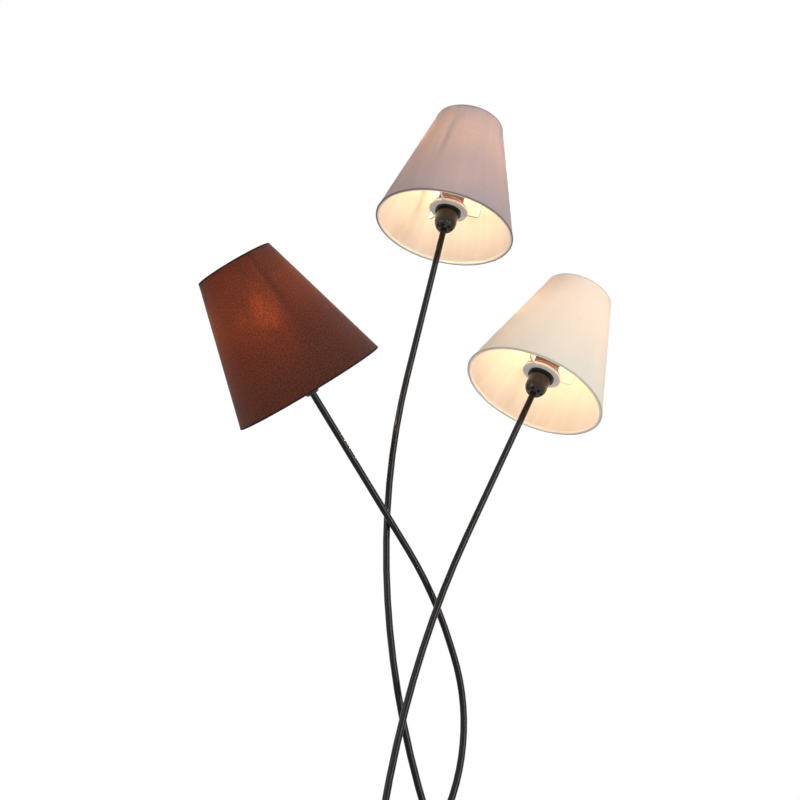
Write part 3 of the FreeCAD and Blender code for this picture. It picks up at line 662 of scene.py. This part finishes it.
# %% Shade map and seam
ROUND = 192
MEAN_RADIUS = 60.0
SEAM_LAP = 9.0
SEAM_STEP = 0.3
SEAM_ROUNDING = 0.3
SEAM_TURN = {"grey": 200.0, "brown": 150.0, "cream": 60.0}  # degrees round the shade


def cloth_map(profile):
    """Return the grid's places on the flat map, in metres: round the shade, along the profile."""
    steps = np.vstack([[0.0, 0.0], np.diff(profile, axis=0)])
    along = np.cumsum(np.linalg.norm(steps, axis=1)) * MM
    along = np.append(along, along[-1] + MM)
    around = np.linspace(0.0, 2.0 * np.pi, ROUND + 1) * MEAN_RADIUS * MM
    return np.stack(np.broadcast_arrays(around[None, :], along[:, None]), -1)


def seam_lap(colour):
    """Return the seam's lift round the shade, 0 to 1: (1 - distance / lap) ^ rounding."""
    away = np.angle(np.exp(1j * (turns(ROUND) - math.radians(SEAM_TURN[colour]))))
    return np.clip(1.0 - np.abs(away) * MEAN_RADIUS / SEAM_LAP, 0.0, 1.0) ** SEAM_ROUNDING


for colour in COLOURS:
    print(colour, "seam covers", np.count_nonzero(seam_lap(colour)), "of", ROUND, "steps")


# %% Make the shades
def make_shade(colour):
    """Make one shade: its wall, hems, seam and lining in one closed surface."""
    profile, kind = shade_profile()
    lift = (kind == OUTSIDE)[:, None] * seam_lap(colour)[None, :] * SEAM_STEP
    points = pushed_out(turned(profile, ROUND), lift)
    piece = grid_mesh(colour + "_shade_cloth", on_head(points, colour),
                      closed_along=True, flat=cloth_map(profile))
    for finish in (CLOTHS[colour], HEMS[colour], lining_film):
        piece.data.materials.append(finish)
    piece.data.polygons.foreach_set("material_index", np.repeat(kind, ROUND))
    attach(piece, colour + "_shade_body")
    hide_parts(colour + "_shade")
    return piece


shades = {colour: make_shade(colour) for colour in COLOURS}
print("shade faces:", [len(piece.data.polygons) for piece in shades.values()])

# %% [markdown]
# ## The holder's thread
# The skirt of a lampholder carries a coarse thread for its ring nut. Lit by the bulb, it
# shows as brown and dark stripes above the ring. A Screw modifier could wind a tooth into a
# thread, but its ends stay open. Here it is a closed sleeve whose radius rises and falls
# along the axis and shifts with the turn, so the ridge climbs one pitch in each turn.

# %% Holder thread
# Millimetres: heights from the shade's bottom rim, the rise in a turn, and radii.
THREAD_LOW = 33.0
THREAD_HIGH = 49.4
THREAD_PITCH = 2.4
THREAD_ROOT = 14.05
THREAD_CREST = 14.6
THREAD_BORE = 13.6
THREAD_ROWS = 84
THREAD_STEPS = 64


def make_thread(colour):
    """Make the sleeve: r = root + (crest - root) w (1/2 + cos(2 pi h / pitch - a) / 2)^2.

    w fades the ridge to nothing over half a pitch at both ends, and the bore is straight.
    """
    heights = np.linspace(THREAD_LOW, THREAD_HIGH, THREAD_ROWS)
    profile = np.concatenate([
        np.stack([np.full(THREAD_ROWS, THREAD_ROOT), heights], -1),
        [(THREAD_BORE, THREAD_HIGH), (THREAD_BORE, THREAD_LOW)],
    ])
    points = turned(profile, THREAD_STEPS)
    level = points[..., 2]
    ends = np.minimum(level - THREAD_LOW, THREAD_HIGH - level)
    fade = np.clip(2.0 * ends / THREAD_PITCH, 0.0, 1.0)
    wave = 0.5 + 0.5 * np.cos(2.0 * np.pi * level / THREAD_PITCH - turns(THREAD_STEPS))
    points = pushed_out(points, (THREAD_CREST - THREAD_ROOT) * wave ** 2 * fade)
    piece = grid_mesh(colour + "_holder_thread", on_head(points, colour), closed_along=True)
    # The thread's brown tone is painted light from the bulb on dark resin.
    piece.data.materials.append(bulb_lit_moulding)
    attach(piece, "stand")
    return piece


threads = {colour: make_thread(colour) for colour in COLOURS}
print("thread faces:", [len(piece.data.polygons) for piece in threads.values()])

# %% [markdown]
# ## A collar on the brown shade's cap
# On the brown shade the holder's cap ends in a short fluted collar round the tube, and its
# tip looks out below the rim. Flutes could be cut from a ring with a Boolean, but that
# leaves ragged faces. So it is a turned ring whose outside is drawn in eight times on the
# way round, by a cosine raised to a high power, which is flat between narrow dips.

# %% Cap collar
# (radius, height) in millimetres, from the tip up.
COLLAR_OUTSIDE = [(5.4, -6.6), (6.3, -6.3), (7.0, -5.4), (7.3, -4.0), (7.3, -2.4), (7.1, -1.0)]
COLLAR_BORE = 3.55
COLLAR_STEPS = 128
FLUTE_COUNT = 8
FLUTE_DEPTH = 1.3
FLUTE_POWER = 16


def make_collar(colour):
    """Make the collar: outside radius = profile - depth cos(n a / 2)^power, bore straight."""
    inside = [(COLLAR_BORE, COLLAR_OUTSIDE[-1][1]), (COLLAR_BORE, COLLAR_OUTSIDE[0][1])]
    points = turned(COLLAR_OUTSIDE + inside, COLLAR_STEPS)
    is_outside = np.arange(len(points)) < len(COLLAR_OUTSIDE)
    dip = FLUTE_DEPTH * np.cos(FLUTE_COUNT * turns(COLLAR_STEPS) / 2.0) ** FLUTE_POWER
    points = pushed_out(points, -dip * is_outside[:, None])
    piece = grid_mesh(colour + "_cap_collar", on_head(points, colour), closed_along=True)
    piece.data.materials.append(dark_moulding)
    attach(piece, "stand")
    return piece


collar = make_collar("brown")
print("collar faces:", len(collar.data.polygons))

# %% [markdown]
# ## Bulb glass
# Each bulb is a small clear globe, and its glass is so thin that it hardly bends the light.
# A Glass shader on the frame's solid globe would act as a strong lens. So the glass is a
# film: transparent, with a mirror share that grows at the edge, where the eye looks along
# the wall.

# %% Bulb glass
EDGE_POWER = 4.0
EDGE_LEAST = 0.03
EDGE_MOST = 0.6
FILM_MIRROR = (0.88, 0.82, 0.72, 1.0)
FILM_CLEAR = (1.0, 0.99, 0.97, 1.0)
FILM_ROUGHNESS = (0.03, 0.09)
FILM_STREAKS = 40.0


def clear_film():
    """Return a thin clear glass: see-through, with a mirror share of facing ^ power."""
    finish, tree, shader = new_finish("clear_bulb_glass")
    streaks = noise(tree, FILM_STREAKS, detail=2.0)
    shader.inputs["Base Color"].default_value = FILM_MIRROR
    shader.inputs["Metallic"].default_value = 1.0
    tree.links.new(spread(tree, streaks, *FILM_ROUGHNESS), shader.inputs["Roughness"])
    clear = node(tree, "ShaderNodeBsdfTransparent", {"Color": FILM_CLEAR})
    facing = node(tree, "ShaderNodeLayerWeight", {"Blend": 0.5}).outputs["Facing"]
    edge = spread(tree, maths(tree, "POWER", facing, EDGE_POWER), EDGE_LEAST, EDGE_MOST)
    both = mixed_shader(tree, edge, clear.outputs[0], shader.outputs[0])
    tree.links.new(both, tree.nodes["Material Output"].inputs["Surface"])
    return finish


bulb_film = clear_film()
for colour in COLOURS:
    dress(colour + "_bulb_glass", bulb_film)
print("bulbs in", bulb_film.name)

# %% [markdown]
# ## Filament rods
# What shines in the bulb is a bundle of four slim rods that lean outwards round a glass
# stem, with a thin wire from the top of each one to the stem. Bevelled curves could make
# the rods, but their ends stay flat. A ring that is carried along a line and shrinks at
# both ends gives a rounded rod, and a thinner one gives the wires.

# %% Rods
# Each end is (distance from the axis, height) in millimetres. A rod has its width at a few
# shares of its length.
ROD_LOW = (2.0, 56.5)
ROD_HIGH = (6.5, 84.0)
ROD_SHARE = np.array([0.0, 0.01, 0.03, 0.5, 0.97, 0.99, 1.0])
ROD_WIDTH = np.array([0.02, 0.7, 1.0, 1.0, 1.0, 0.7, 0.02])
ANY_SIDE = (0.3, 0.9, 0.2)


def rod(start, end, radius, steps):
    """Return the grid of a round-ended rod between two points.

    p(s, a) = start + s (end - start) + r(s) (cos a U + sin a V), with r(s) closing to
    nearly nothing at both ends.
    """
    start, end = np.array(start, float), np.array(end, float)
    along = (end - start) / np.linalg.norm(end - start)
    first = np.cross(along, ANY_SIDE)
    first /= np.linalg.norm(first)
    second = np.cross(along, first)
    width = radius * ROD_WIDTH
    angles = turns(steps)
    ring = np.cos(angles)[:, None] * first + np.sin(angles)[:, None] * second
    return start + ROD_SHARE[:, None, None] * (end - start) + width[:, None, None] * ring


print("a rod is", round(math.dist(ROD_LOW, ROD_HIGH), 1), "mm long")

# %% [markdown]
# ## The glow of a rod
# A lit rod looks like a bar of warm light, and unlit it is an amber coating. An Emission
# shader alone could give the light but not the coating. The Principled shader has both, so
# the rod keeps its amber under the glow.

# %% Glow
def glowing(name, tone, colour, strength):
    """Return a finish that shines by itself."""
    finish, tree, shader = new_finish(name)
    shader.inputs["Base Color"].default_value = tone
    shader.inputs["Emission Color"].default_value = colour
    shader.inputs["Emission Strength"].default_value = strength
    return finish


filament_glow = glowing("filament_glow", tone=(0.9, 0.6, 0.25, 1.0),
                        colour=(1.0, 0.72, 0.38, 1.0), strength=6.0)
print("the rods shine in", filament_glow.name)

# %% [markdown]
# ## One bundle in each bulb
# The stem, the rods and the wires are fused together in a real bulb and turn with it. They
# could stay nine objects, but one joined object with three finishes moves as one, as the
# real bundle does.

# %% Filaments
ROD_COUNT = 4
ROD_RADIUS = 1.0
ROD_STEPS = 12
WIRE_RADIUS = 0.3
WIRE_STEPS = 8
STEM_STEPS = 20
# The stem's (radius, height), and the place just under its tip where the wires meet.
STEM_PROFILE = [(0.02, 40.0), (3.6, 40.0), (3.4, 44.0), (1.9, 50.0), (1.7, 54.5), (2.6, 55.5),
                (2.6, 57.0), (1.0, 58.0), (0.5, 60.0), (0.5, 89.0), (0.02, 89.5)]
CROWN = np.array([0.0, 0.0, 88.5])


def make_filaments(colour):
    """Make the stem, the slanted rods and the wires from their tops to the stem as one piece."""
    parts = [(turned(STEM_PROFILE, STEM_STEPS), bulb_film)]
    for index in range(ROD_COUNT):
        turn = 2.0 * math.pi * (index + 0.5) / ROD_COUNT
        side = np.array([math.cos(turn), math.sin(turn), 0.0])
        low, high = (reach * side + [0.0, 0.0, level] for reach, level in (ROD_LOW, ROD_HIGH))
        parts.append((rod(low, high, ROD_RADIUS, ROD_STEPS), filament_glow))
        parts.append((rod(high, CROWN, WIRE_RADIUS, WIRE_STEPS), zinc))
    bpy.ops.object.select_all(action="DESELECT")
    pieces = []
    for points, finish in parts:
        piece = grid_mesh("filament_part", on_head(points, colour))
        piece.data.materials.append(finish)
        piece.select_set(True)
        pieces.append(piece)
    bundle = pieces[0]
    bpy.context.view_layer.objects.active = bundle
    bpy.ops.object.join()
    bundle.name = colour + "_filaments"
    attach(bundle, colour + "_bulb_body")
    return bundle


filaments = {colour: make_filaments(colour) for colour in COLOURS}
print("filament faces:", [len(piece.data.polygons) for piece in filaments.values()])

# %% [markdown]
# ## The light in the shades
# A real bulb's rods light the whole shade, and the bright cloth sends light back to its low
# parts. The glowing rods could do the lighting here too, but they are tiny, and tiny lights
# render slowly and with grain. So a small lamp at the top of each bulb does it, and throws
# the soft shadows of the carrier's wires on to the cloth. A second, weaker disc of light
# faces down the shade from the bulb's foot and stands for what the cloth sends back.

# %% Bulb lamps
# Watts of light, tones, and sizes and levels in millimetres.
BULB_WATTS = {"grey": 0.45, "brown": 0.45, "cream": 0.41}
BULB_TONE = (1.0, 0.725, 0.46)
BULB_SIZE = 6.0
BULB_LEVEL = 85.0
LINING_WATTS = {"grey": 0.18, "brown": 0.16, "cream": 0.13}
LINING_TONE = (1.0, 0.76, 0.58)
LINING_SIZE = 40.0
LINING_LEVEL = 53.0


def head_lamp(name, kind, colour, level, watts, tone):
    """Add a lamp on a head's axis, so many millimetres above the shade's bottom rim."""
    data = bpy.data.lights.new(name, kind)
    data.energy = watts
    data.color = tone
    lamp = bpy.data.objects.new(name, data)
    lamp.location = on_head(np.array([0.0, 0.0, level]), colour)
    bpy.context.scene.collection.objects.link(lamp)
    return lamp


for colour in COLOURS:
    bulb = head_lamp(colour + "_bulb_light", "POINT", colour, BULB_LEVEL,
                     BULB_WATTS[colour], BULB_TONE)
    bulb.data.shadow_soft_size = BULB_SIZE * MM
    disc = head_lamp(colour + "_lining_light", "AREA", colour, LINING_LEVEL,
                     LINING_WATTS[colour], LINING_TONE)
    disc.data.shape = "DISK"
    disc.data.size = LINING_SIZE * MM
    disc.rotation_euler = Vector(head_place(colour)[1][2]).to_track_quat("Z", "Y").to_euler()
    print(colour, "bulb", bulb.data.energy, "W and lining", disc.data.energy, "W")

# %% [markdown]
# ## Studio floor
# The picture is a cut-out on plain white, and a real studio would use a large sheet of white
# paper. More light could turn the floor white, but it would wash out the lamp as well. So
# the floor is pale and matt, a little of its own light is seen by the camera only, and it
# keeps the lamp's soft shadow.

# %% Floor
FLOOR_HALF = 6.0
FLOOR_TONE = (0.86, 0.86, 0.86, 1.0)
FLOOR_ROUGHNESS = 0.9
FLOOR_LIFT = 0.28
floor_mesh = bpy.data.meshes.new("studio_floor")
floor_mesh.from_pydata(
    [(-FLOOR_HALF, -FLOOR_HALF, 0), (FLOOR_HALF, -FLOOR_HALF, 0),
     (FLOOR_HALF, FLOOR_HALF, 0), (-FLOOR_HALF, FLOOR_HALF, 0)], [], [(0, 1, 2, 3)])
floor = bpy.data.objects.new("studio_floor", floor_mesh)
bpy.context.scene.collection.objects.link(floor)
floor_finish, tree, shader = new_finish("pale_floor")
shader.inputs["Base Color"].default_value = FLOOR_TONE
shader.inputs["Roughness"].default_value = FLOOR_ROUGHNESS
seen_floor = node(tree, "ShaderNodeLightPath").outputs["Is Camera Ray"]
tree.links.new(maths(tree, "MULTIPLY", seen_floor, FLOOR_LIFT),
               shader.inputs["Emission Strength"])
floor_mesh.materials.append(floor_finish)
print("floor:", 2.0 * FLOOR_HALF, "m square")

# %% [markdown]
# ## White all round
# Behind the lamp there is nothing but white. A sky or a picture of a room could light it,
# but would colour the cloth. The world here is plain white at two strengths: full to the
# camera, in reflections and through glass, and weaker as light, so that the bulbs still
# count.

# %% World
WORLD_STRENGTH = 0.50
SEEN_STRENGTH = 1.0
WHITE = (1.0, 1.0, 1.0, 1.0)
world = bpy.data.worlds.new("white_studio")
bpy.context.scene.world = world
world.use_nodes = True
tree = world.node_tree
plain = tree.nodes["Background"]
plain.inputs["Color"].default_value = WHITE
plain.inputs["Strength"].default_value = WORLD_STRENGTH
white = node(tree, "ShaderNodeBackground", {"Color": WHITE, "Strength": SEEN_STRENGTH})
rays = node(tree, "ShaderNodeLightPath").outputs
seen = maths(tree, "MAXIMUM", rays["Is Camera Ray"], rays["Is Transmission Ray"])
mirrored = maths(tree, "MAXIMUM", seen, rays["Is Glossy Ray"])
choice = mixed_shader(tree, mirrored, plain.outputs[0], white.outputs[0])
tree.links.new(choice, tree.nodes["World Output"].inputs["Surface"])
print("world lights at", WORLD_STRENGTH, "and is seen at", SEEN_STRENGTH)

# %% [markdown]
# ## Two tall soft lamps
# The thin highlights along the tubes are the mirror images of tall bright windows. Point
# lamps would only make dots on a round tube. A rectangle that is tall and narrow gives one
# long clean line, and one on each side gives two.

# %% Soft lamps
LAMP_AIM = (0.0, 0.0, 1.2)


def soft_lamp(name, place, width, height, watts):
    """Add a rectangular lamp at a place, turned to face the middle of the tubes."""
    data = bpy.data.lights.new(name, "AREA")
    data.shape = "RECTANGLE"
    data.size = width
    data.size_y = height
    data.energy = watts
    lamp = bpy.data.objects.new(name, data)
    lamp.location = place
    x, y, z = np.array(LAMP_AIM) - np.array(place)
    lamp.rotation_euler = (math.atan2(math.hypot(x, y), -z), 0.0, math.atan2(-x, y))
    bpy.context.scene.collection.objects.link(lamp)
    print(name, "is", width, "by", height, "m, with", watts, "W")


soft_lamp("left_window", place=(-2.2, -1.8, 2.0), width=0.5, height=2.0, watts=16.0)
soft_lamp("right_window", place=(2.0, -1.9, 1.6), width=0.4, height=2.4, watts=48.0)

# %% [markdown]
# ## Camera
# The photograph looks up at the shades from a little over a metre away. A camera could be
# placed by eye, but then the shades' ovals would never fit. The open rims are true circles,
# so their ovals in the photograph gave the angle of view, the place and the tilt.

# %% Camera
VIEW_FOCAL_PIXELS = 990.0
PICTURE_PIXELS = 800.0
SENSOR_MM = 36.0
CAMERA_PLACE = (-0.026, -1.013, 0.933)
CAMERA_TILT = 17.1  # degrees above level
FAR_END = 50.0
camera_data = bpy.data.cameras.new("viewer")
camera_data.sensor_width = SENSOR_MM
camera_data.lens = SENSOR_MM * VIEW_FOCAL_PIXELS / PICTURE_PIXELS
camera_data.clip_end = FAR_END
camera = bpy.data.objects.new("viewer", camera_data)
camera.location = CAMERA_PLACE
camera.rotation_euler = (math.radians(90.0 + CAMERA_TILT), 0.0, 0.0)
bpy.context.scene.collection.objects.link(camera)
bpy.context.scene.camera = camera
bpy.context.scene.view_settings.view_transform = "Standard"
print("angle of view:", round(math.degrees(camera_data.angle_x), 1), "degrees")
